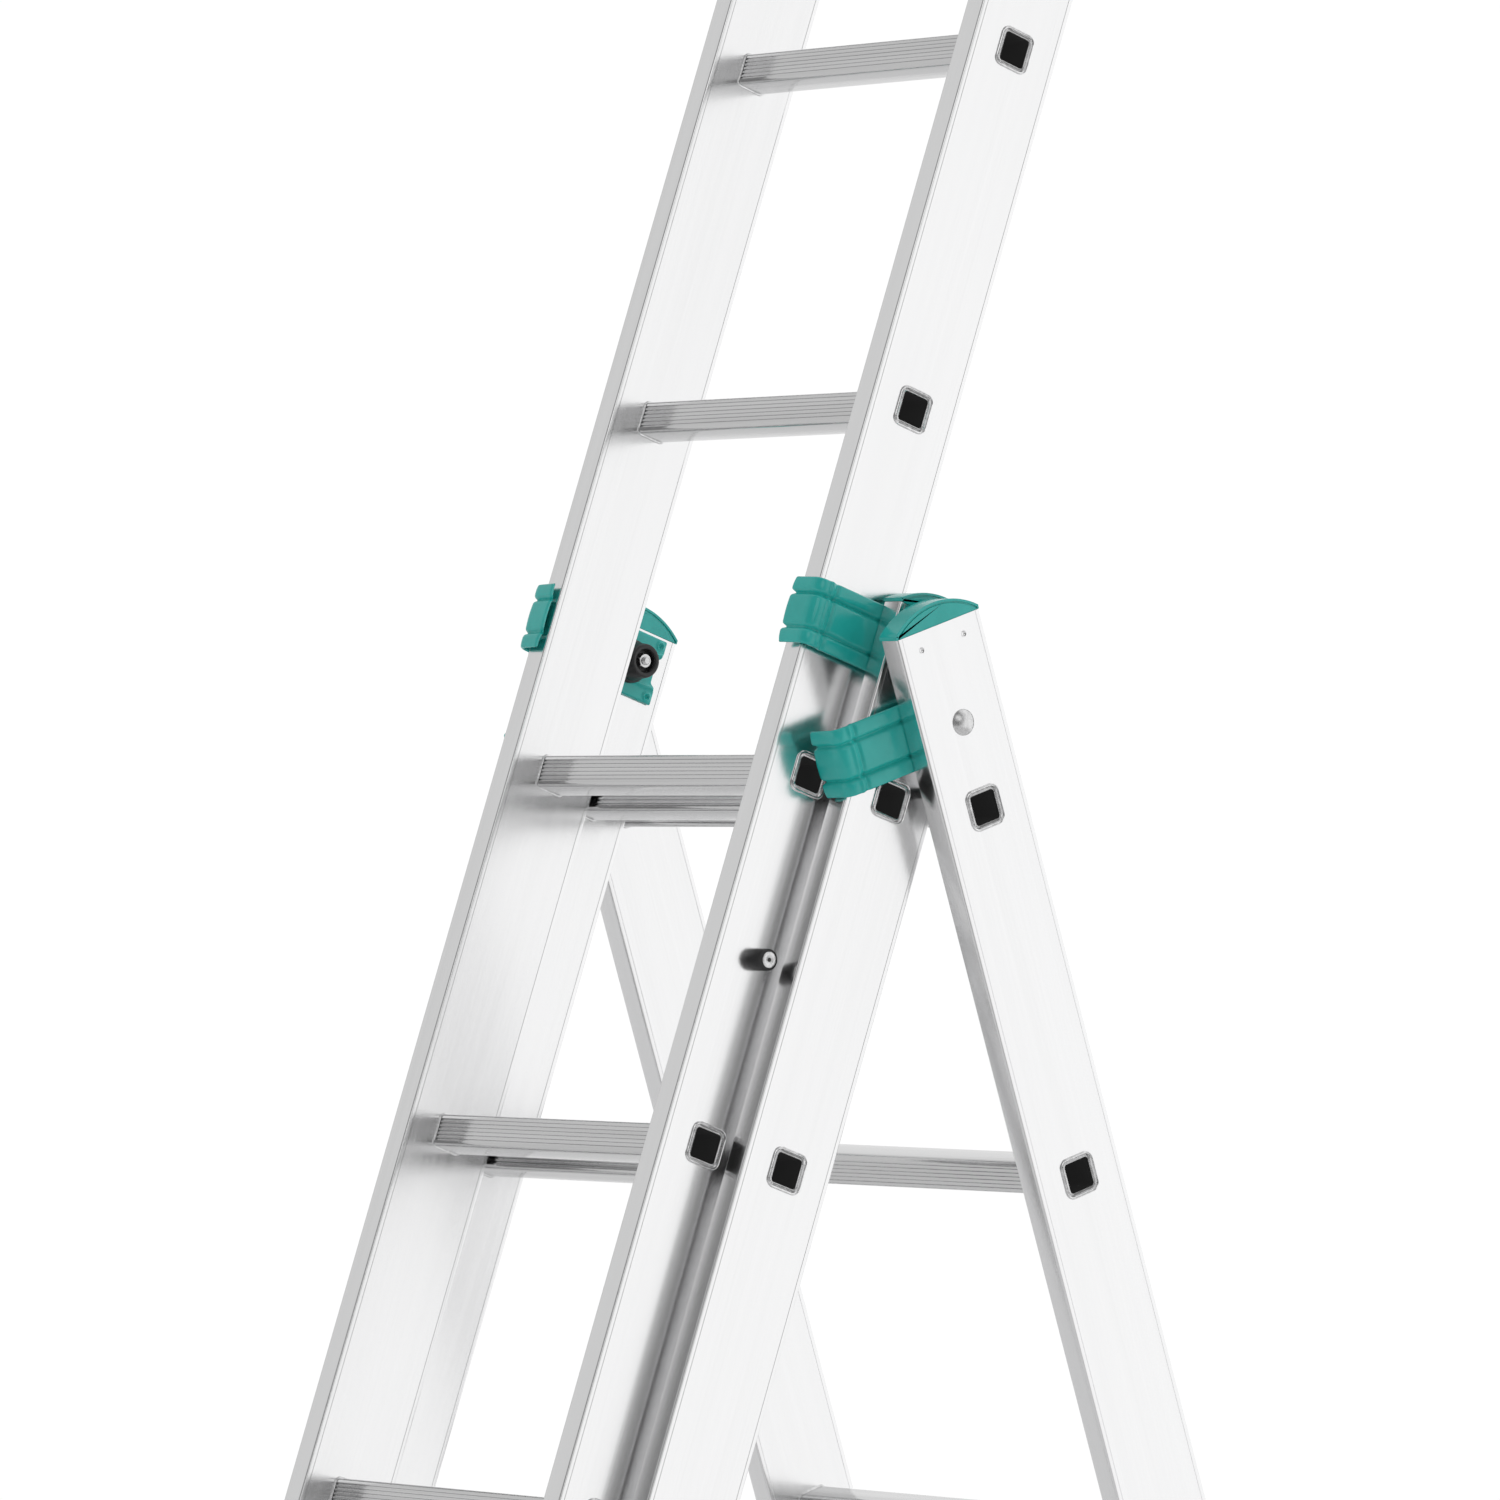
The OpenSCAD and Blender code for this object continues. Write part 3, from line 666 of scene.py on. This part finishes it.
def hex_nut(x0, x1, flats, at, bolt):
    """A chamfered nut with the facets' arcs, round a bore."""
    across = flats / math.cos(math.pi / 6)
    hexagon = []
    for k in range(48):
        a = 2 * math.pi * k / 48
        fold = (a % (math.pi / 3)) - math.pi / 6
        hexagon.append((a, flats / 2 / math.cos(fold)))
    cut = flats / 2 * 0.985

    def ring(limit):
        return [Vector((min(r, limit) * math.cos(a), min(r, limit) * math.sin(a))) for a, r in hexagon]

    def hole(r):
        return [Vector((r * math.cos(a), r * math.sin(a))) for a, _ in hexagon]

    rings = [(x0, hole(bolt + 0.05)), (x0, hole(bolt + 0.5)), (x0, ring(cut)), (x0 + 0.7, ring(across)),
             (x1 - 0.5, ring(across)), (x1, ring(cut)), (x1, hole(bolt + 0.05))]
    return Shape().along_x(rings, closed=True, at=at)


middle_at, rear_at = (0, GUIDE_S["middle"]), (0, GUIDE_S["rear"])
rear_in = WIDTH["rear"] / 2 - STILE_W
carriage_bolt(WIDTH["middle"] / 2, BLOCK_TIP - 1.5, middle_at, SLIM_R).mirrored().build(
    "middle_guide_bolts", "middle", [ZINC], "zinc_steel")
hex_nut(BLOCK_TIP + 1, BLOCK_TIP + NUT_T + 1, 10, middle_at, SLIM_R).mirrored().build(
    "middle_guide_nuts", "middle", [ZINC], "zinc_steel")
carriage_bolt(WIDTH["rear"] / 2, rear_in - GUIDE_T - 4.2, rear_at, BOLT_R).mirrored().build(
    "rear_guide_bolts", "rear", [ZINC], "zinc_steel")
hex_nut(rear_in - GUIDE_T - 4, rear_in - GUIDE_T, 13, rear_at, BOLT_R).mirrored().build(
    "rear_guide_nuts", "rear", [ZINC], "zinc_steel")

# --- stop pins ---
STOP_R, STOP_LEN = 8.0, 13.0
stop_at = (0, -FIRST_RUNG - (RAISED + 0.5) * PITCH)
stop_face = WIDTH["upper"] / 2
stop_end = stop_face + STOP_LEN
Shape().turned([(stop_face, STOP_R), (stop_end - 1.0, STOP_R), (stop_end - 0.3, STOP_R - 0.4),
                (stop_end, STOP_R - 1.2),
                (stop_end + 0.02, 3.0)], stop_at).mirrored().build(
    "stop_pins", "upper", [BLACK], "black_plastic")
rivets = Shape().turned([(stop_face - 6, 2.4), (stop_face, 2.9), (stop_end, 2.95), (stop_end, 5.6),
                         (stop_end + 0.3, 5.9), (stop_end + 0.7, 5.6), (stop_end + 0.85, 4.8),
                         (stop_end + 0.75, 2.6), (stop_end + 0.35, 1.6)], stop_at)
# Painted shade: a thin near-black disc in each rivet's end stands for the shade in its hollow
rivets.turned([(stop_end + 0.3, 1.65), (stop_end + 0.38, 1.6)], stop_at, mat=1)
rivets.mirrored().build("stop_pin_rivets", "upper", [ZINC, BORE_PAINTED_SHADE], "zinc_steel")

# --- plugs under the upper stiles ---
UPPER_PLUG, FOOT_PLUG, FOOT_DROP = 26.0, 34.0, 60.0
upper_x = (WIDTH["upper"] - STILE_W) / 2


def end_plug(x, top, drop):
    """A moulded end with two ribs round it, below the stile's end."""
    full, slim = outline(STILE_W, STILE_DEPTH, STILE_R), outline(STILE_W - 1.2, STILE_DEPTH - 1.2, 1.2)
    inner = outline(STILE_W - 2 * (STILE_WALL + PLUG_GAP), STILE_DEPTH - 2 * (STILE_WALL + PLUG_GAP), 0.8)
    shape = Shape()
    shape.along_s([(top - drop, outline(STILE_W - 2, STILE_DEPTH - 2, 1.2)), (top - drop + 0.8, full),
                   (top - drop + 1.8, full), (top - drop + 2.1, slim), (top - drop + 2.7, slim),
                   (top - drop + 3.0, full), (top - 0.05, full), (top, slim), (top, inner),
                   (top + UPPER_PLUG, inner)],
                  at=(x, 0))
    return shape


end_plug(upper_x, -STILE_LEN, 5.0).mirrored().build("upper_plugs", "upper", [BLACK], "black_rubber")

# --- middle feet, cut level by the floor ---
FOOT_RIB, FOOT_STEP = 0.7, 3.0
middle_x = (WIDTH["middle"] - STILE_W) / 2


def cut_level(shape, section):
    """Drops what is below the floor and closes the cut."""
    bm = bmesh.new()
    made = [bm.verts.new(v) for v in shape.verts]
    for f in shape.faces:
        bm.faces.new([made[i] for i in f])
    world = AT[section]
    normal = world.to_3x3().inverted() @ Vector((0, 0, 1))
    point = world.inverted() @ Vector((0, 0, 0)) / MM
    found = bmesh.ops.bisect_plane(bm, geom=bm.verts[:] + bm.edges[:] + bm.faces[:], plane_co=point,
                                   plane_no=normal, clear_inner=True)
    edges = [e for e in found["geom_cut"] if isinstance(e, bmesh.types.BMEdge)]
    bmesh.ops.holes_fill(bm, edges=edges)
    bm.verts.index_update()
    out = Shape()
    out.verts = [v.co.copy() for v in bm.verts]
    out.faces = [tuple(v.index for v in f.verts) for f in bm.faces]
    out.mats = [0] * len(out.faces)
    bm.free()
    return out


def middle_foot():
    full = outline(STILE_W, STILE_DEPTH, STILE_R)
    slim = outline(STILE_W - 2 * FOOT_RIB, STILE_DEPTH - 2 * FOOT_RIB, 1.0)
    inner = outline(STILE_W - 2 * (STILE_WALL + PLUG_GAP), STILE_DEPTH - 2 * (STILE_WALL + PLUG_GAP), 0.8)
    rings = [(-STILE_LEN - FOOT_DROP, full)]
    s = -STILE_LEN - FOOT_DROP + FOOT_STEP
    while s < -STILE_LEN - 2 * FOOT_STEP:
        rings += [(s, full), (s + 0.3, slim), (s + 1.0, slim), (s + 1.3, full)]
        s += FOOT_STEP
    rings += [(-STILE_LEN - 0.05, full), (-STILE_LEN, slim), (-STILE_LEN, inner),
              (-STILE_LEN + FOOT_PLUG, inner)]
    shape = Shape().along_s(rings, at=(middle_x, 0))
    return cut_level(shape, "middle")


middle_foot().build("middle_foot_right", "middle", [RUBBER], "black_rubber")
middle_foot().flipped().build("middle_foot_left", "middle", [RUBBER], "black_rubber")

# --- stabiliser bar, its shoes, feet and bolts ---
BAR_HALF, BAR_H, BAR_WALL, BAR_FRONT, BAR_BACK = 440.0, 30.0, 1.6, -14.0, 36.0
SHOE_LEN, SHOE_RISE = 52.0, 3.0
bar_w, bar_s = (BAR_FRONT + BAR_BACK) / 2, -REAR_LEN - BAR_H / 2
bar_depth = BAR_BACK - BAR_FRONT
rear_x = (WIDTH["rear"] - STILE_W) / 2


def stabiliser_bar():
    lines = {1: (-15.0, 0.0, 15.0), 3: (-15.0, 0.0, 15.0)}
    outer = outline(bar_depth, BAR_H, 2.0, lines, 1.4, 0.4)
    inner = outline(bar_depth - 2 * BAR_WALL, BAR_H - 2 * BAR_WALL, 0.5, lines, 1.4, 0.0)
    rings = [(-BAR_HALF, outer), (BAR_HALF, outer), (BAR_HALF, inner), (-BAR_HALF, inner)]
    return Shape().along_x(rings, closed=True, at=(bar_w, bar_s))


stabiliser_bar().build("stabiliser_bar", "rear", [BAR_METAL], "stile_aluminium")


def stabiliser_foot():
    """A boot over the bar's end with tread ribs under it."""
    x0, x1 = BAR_HALF - SHOE_LEN + 12, BAR_HALF + 12
    depth = HALF - BAR_FRONT + 4
    centre = (BAR_FRONT - 4 + HALF) / 2
    low, high = -REAR_LEN - BAR_H - FOOT_DROP, -REAR_LEN + SHOE_RISE

    def block(inset):
        tall = high - low - inset
        return [Vector((p.x, p.y + (low + high - inset) / 2))
                for p in outline(depth - 2 * inset, tall, 4.0 - min(inset, 3.0))]

    rings = [(x0, block(1.2)), (x0 + 0.8, block(0.4)), (x0 + 2.0, block(0.0)), (x0 + 7.0, block(0.0)),
             (x0 + 7.5, block(0.8)), (x0 + 9.0, block(0.8)), (x0 + 9.5, block(0.0)), (x1 - 3.5, block(0.0)),
             (x1 - 1.5, block(0.6)), (x1, block(2.2))]
    return cut_level(Shape().along_x(rings, at=(centre, 0)), "rear")


stabiliser_foot().build("stabiliser_foot_right", "rear", [RUBBER], "black_rubber")
stabiliser_foot().flipped().build("stabiliser_foot_left", "rear", [RUBBER], "black_rubber")


def rear_shoe():
    inner = outline(STILE_W - 2 * (STILE_WALL + PLUG_GAP), STILE_DEPTH - 2 * (STILE_WALL + PLUG_GAP), 0.8)
    shape = Shape().along_s([(-REAR_LEN - 0.2, inner), (-REAR_LEN + FOOT_PLUG, inner)], at=(rear_x, 0))
    front, back = -HALF, BAR_FRONT
    block = outline(STILE_W, back - front, 1.6)
    slim = outline(STILE_W - 1.4, back - front - 1.4, 1.0)
    rings = [(-REAR_LEN - BAR_H, slim), (-REAR_LEN - BAR_H + 0.8, block)]
    for k in range(1, 6):
        s = -REAR_LEN - BAR_H + 5 * k - 1
        rings += [(s, block), (s + 0.3, slim), (s + 1.1, slim), (s + 1.4, block)]
    rings += [(-REAR_LEN - 0.3, block), (-REAR_LEN, slim)]
    return shape.along_s(rings, at=(rear_x, (front + back) / 2))


rear_shoe().mirrored().build("rear_shoes", "rear", [BLACK], "black_plastic")


bolt_foot, bolt_top = -REAR_LEN - BAR_H, -REAR_LEN + 22
bolt_at = (rear_x, bar_w)
washer = circle(8.6, 32)
hexagon = circle(6.9, 6)
small = [p * 0.88 for p in hexagon]
bolts = Shape().along_s([(bolt_foot - 0.8, washer), (bolt_foot, washer)], at=bolt_at)
bolts.along_s([(bolt_foot - 5.0, small), (bolt_foot - 4.4, hexagon), (bolt_foot - 0.8, hexagon)], at=bolt_at)
bolts.along_s([(bolt_foot, circle(BOLT_R, 32)), (bolt_top - 0.6, circle(BOLT_R, 32)),
               (bolt_top, circle(BOLT_R - 0.5, 32))], at=bolt_at)
bolts.mirrored().build("stabiliser_bolts", "rear", [ZINC], "zinc_steel")

# --- rung hooks ---
HOOK_T, HOOK_HALF, HOOK_TIP, HOOK_Y, HOOK_DROP = 3.2, 8.0, 12.0, -20.0, 5.0
HOOK_UNDER = HOOK_DROP + RUNG / 2 + RIM + 1
HOOK_MOUTH = NEST - HOOK_Y + RUNG / 2 + RIM + 2.5
HOOK_REACH = HOOK_MOUTH + 8.5
HOOK_BACK = HOOK_UNDER + 2 * HOOK_HALF
HOOK_X = WIDTH["upper"] / 2 + 2
hook_s = rung_s(RUNGS - 1) - HOOK_DROP


def hook():
    """A pressed flat hook with rounded corners and a stiffening rib down its long arm."""
    boss = [(HOOK_HALF * math.cos(a), HOOK_HALF * math.sin(a))
            for a in (math.pi * (1.5 - k / 12) for k in range(13))]
    rest = bevelled([(HOOK_BACK, HOOK_HALF), (HOOK_BACK, -HOOK_REACH), (-HOOK_TIP, -HOOK_REACH),
                     (-HOOK_TIP, -HOOK_MOUTH), (HOOK_UNDER, -HOOK_MOUTH), (HOOK_UNDER, -HOOK_HALF)], 5.0)
    body = ([Vector(p) for p in boss] + rest)[::-1]
    thin = [p - 0.35 * q for p, q in zip(body, normals_of(body))]
    outer = HOOK_X + HOOK_T
    rings = [(HOOK_X, thin), (HOOK_X + 0.35, body), (outer - 0.35, body), (outer, thin)]
    mid, foot, head = HOOK_UNDER + HOOK_HALF, 14 - HOOK_MOUTH, -HOOK_HALF
    centre = (foot + head) / 2
    rib = bevelled([(mid - 2.4, foot), (mid + 2.4, foot), (mid + 2.4, head), (mid - 2.4, head)], 2.2)
    crest = [Vector((mid + (p.x - mid) * 0.4, centre + (p.y - centre) * 0.95)) for p in rib]
    shape = Shape().along_x(rings, at=(HOOK_Y, hook_s))
    return shape.along_x([(outer - 0.1, rib), (outer + 0.6, crest)], at=(HOOK_Y, hook_s))


hook().build("hook_right", "upper", [ZINC], "zinc_steel", body="hook_right")
hook().flipped().build("hook_left", "upper", [ZINC], "zinc_steel", body="hook_left")
pivot_at = (HOOK_Y, hook_s)
pivot_end = HOOK_X + HOOK_T + 0.2
Shape().turned([(WIDTH["upper"] / 2 - 7, 3.0), (pivot_end, 3.0), (pivot_end, 6.0), (pivot_end + 0.9, 5.9),
                (pivot_end + 1.4, 4.6), (pivot_end + 1.5, 3.0)], pivot_at).mirrored().build(
    "hook_pivots", "upper", [ZINC], "zinc_steel")

# --- fold pins ---
pin_at = (-NEST / 2, -REAR_TOP - NEST / 2 / math.tan(LEAN))
Shape().turned([(WIDTH["middle"] / 2 - 6, 3.5), (WIDTH["middle"] / 2 - 5.4, 4.0), (rear_in + 5.4, 4.0),
                (rear_in + 6, 3.5)], pin_at).mirrored().build("hinge_pins", "rear", [BLACK], "black_plastic")

# --- spreader straps ---
STRAP_W, STRAP_T, STRAP_DROP, STRAP_END, STRAP_LEAVE = 25.0, 2.0, 1075.0, 16.0, 60.0
strap_y, strap_z = STRAP_DROP * math.sin(LEAN), CROSS_H - STRAP_DROP * math.cos(LEAN)
strap_front, strap_back = WIDTH["middle"] / 2 + 0.05, rear_in - 0.05
AT["world"] = Matrix.Identity(4)


def strap():
    """Webbing along y: it leaves the middle stile's outer face and ends on the rear stile's inner face."""
    steps = 90
    half_w, half_t = STRAP_W / 2, STRAP_T / 2
    flat = strap_y - STRAP_LEAVE
    rings = []
    end = strap_y + STRAP_END
    for k in range(steps + 1):
        y = -end + 2 * end * k / steps
        t = min(1.0, max(0.0, (y + flat) / (2 * flat)))
        t = t * t * (3 - 2 * t) * 0.12 + t * 0.88
        x = (strap_front + half_t) * (1 - t) + (strap_back - half_t) * t
        edge = outline(STRAP_T, STRAP_W, 0.8, arc=4)
        rings.append([(x + p.x, y, strap_z + p.y) for p in edge])
    shape = Shape().loft(rings, flip=True)
    for row in range(2):
        for side in (-1, 1):
            y0 = side * (strap_y - 12 - 5 * row)
            x = strap_front + STRAP_T if side < 0 else strap_back - STRAP_T
            out = 0.25 if side < 0 else -0.25
            for k in range(9):
                z = strap_z - half_w + 2.4 + k * 2.55
                stitch = outline(0.7, 1.6, 0.3, arc=3)
                shape.loft([[(x + out * g, y0 + p.x * g2, z + p.y * g2) for p in stitch]
                            for g, g2 in ((-0.5, 1.0), (0.8, 0.9), (1.2, 0.5))], mat=1, flip=side > 0)
    return shape


for side in ("right", "left"):
    made = strap() if side == "right" else strap().flipped()
    web = made.build(f"strap_{side}", "world", [WEB, THREAD], "webbing", ride=False)
    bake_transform(web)


def strap_screw(x_in, x_out, at):
    """A shank into the stile and a flanged cross-head outside the webbing."""
    d = 1 if x_out > x_in else -1
    profile = [(x_in, 2.2), (x_out, 2.4), (x_out, 7.6), (x_out + 0.5 * d, 7.7), (x_out + 0.8 * d, 6.4),
               (x_out + 0.9 * d, 5.0), (x_out + 1.5 * d, 4.2), (x_out + 1.8 * d, 2.6), (x_out + 1.8 * d, 1.2)]
    return Shape().turned(profile if d > 0 else profile[::-1], at)


strap_screw(WIDTH["middle"] / 2 - 8, strap_front + STRAP_T, (0, -MIDDLE_TOP - STRAP_DROP)).mirrored().build(
    "strap_screws_middle", "middle", [ZINC], "zinc_steel")
strap_screw(rear_in + 8, strap_back - STRAP_T, (0, -REAR_TOP - STRAP_DROP)).mirrored().build(
    "strap_screws_rear", "rear", [ZINC], "zinc_steel")

# --- floor ---
FLOOR_R = 5.0


def floor():
    mesh = bpy.data.meshes.new("floor")
    rim_points = [(FLOOR_R * math.cos(2 * math.pi * k / 96), FLOOR_R * math.sin(2 * math.pi * k / 96), 0.0)
                  for k in range(96)]
    mesh.from_pydata(rim_points, [], [tuple(range(96))])
    obj = bpy.data.objects.new("floor", mesh)
    bpy.context.collection.objects.link(obj)
    n = Nodes("floor_paint", specular=0.3)
    grain = n.noise((120.0,) * 3, 4.0)
    n.bump(grain, 0.1, 0.0002)
    mesh.materials.append(n.finish(n.tint(grain, grey(0.86), grey(0.90)), n.ramp(grain, 0.55, 0.65)))


floor()

# --- studio light: a white room, dimmer in front where the camera stands ---
SIDE_GLOW = (0.80, 0.60, 0.0)       # the brightest wall, behind on the right
FRONT_RIGHT = (0.80, -0.48, 0.36)   # the dark corner in front, on the right
FRONT_LEFT = (-0.80, -0.47, 0.37)
KEY = (0.89, -0.16, 0.42)           # a softbox on the right, above


def studio():
    world = bpy.data.worlds.new("studio")
    bpy.context.scene.world = world
    world.use_nodes = True
    tree = world.node_tree
    tree.nodes.clear()

    def add(kind, **values):
        node = tree.nodes.new(kind)
        for key, value in values.items():
            setattr(node, key, value)
        return node

    coords = add("ShaderNodeTexCoord").outputs["Generated"]

    def lobe(direction, start, end, low, high):
        dot = add("ShaderNodeVectorMath", operation="DOT_PRODUCT")
        tree.links.new(coords, dot.inputs[0])
        dot.inputs[1].default_value = Vector(direction).normalized()
        ramp = add("ShaderNodeMapRange", interpolation_type="SMOOTHSTEP")
        for key, number in zip(("From Min", "From Max", "To Min", "To Max"), (start, end, low, high)):
            ramp.inputs[key].default_value = number
        tree.links.new(dot.outputs["Value"], ramp.inputs["Value"])
        return ramp.outputs["Result"]

    def multiply(a, b):
        node = add("ShaderNodeMath", operation="MULTIPLY")
        tree.links.new(a, node.inputs[0])
        tree.links.new(b, node.inputs[1])
        return node.outputs[0]

    def add_up(a, b):
        node = add("ShaderNodeMath", operation="ADD")
        tree.links.new(a, node.inputs[0])
        tree.links.new(b, node.inputs[1])
        return node.outputs[0]

    light = multiply(lobe(FRONT_RIGHT, 0.35, 0.85, 1.0, 0.22), lobe(FRONT_LEFT, 0.3, 0.9, 1.0, 0.66))
    light = multiply(light, lobe((0, 0, -1), 0.1, 0.6, 1.0, 0.85))
    light = add_up(light, lobe(SIDE_GLOW, 0.6, 0.95, 0.0, 0.05))
    light = add_up(light, lobe(KEY, 0.94, 0.99, 0.0, 1.0))
    room = add("ShaderNodeBackground")
    tree.links.new(light, room.inputs["Strength"])
    room.inputs["Color"].default_value = (1, 1, 1, 1)
    backdrop = add("ShaderNodeBackground")
    backdrop.inputs["Color"].default_value = (1, 1, 1, 1)
    backdrop.inputs["Strength"].default_value = 1.02
    ray = add("ShaderNodeLightPath")
    mix = add("ShaderNodeMixShader")
    tree.links.new(ray.outputs["Is Camera Ray"], mix.inputs[0])
    tree.links.new(room.outputs[0], mix.inputs[1])
    tree.links.new(backdrop.outputs[0], mix.inputs[2])
    out = add("ShaderNodeOutputWorld")
    tree.links.new(mix.outputs[0], out.inputs["Surface"])


studio()
bpy.context.scene.view_settings.view_transform = "Standard"

# --- camera ---
CAMERA_AT = (6.0538466, -4.5249942, 1.6861011)
CAMERA_YAW, CAMERA_PITCH, CAMERA_ROLL = 0.9301, 0.0126, 0.0101
LENS, SENSOR = 246.824, 36.0

camera_data = bpy.data.cameras.new("camera")
camera_data.sensor_width, camera_data.lens = SENSOR, LENS
camera_data.clip_end = 100.0
camera = bpy.data.objects.new("camera", camera_data)
bpy.context.collection.objects.link(camera)
camera.matrix_world = (Matrix.Translation(CAMERA_AT) @ Matrix.Rotation(CAMERA_YAW, 4, "Z")
                       @ Matrix.Rotation(math.pi / 2 + CAMERA_PITCH, 4, "X")
                       @ Matrix.Rotation(CAMERA_ROLL, 4, "Z"))
bpy.context.scene.camera = camera
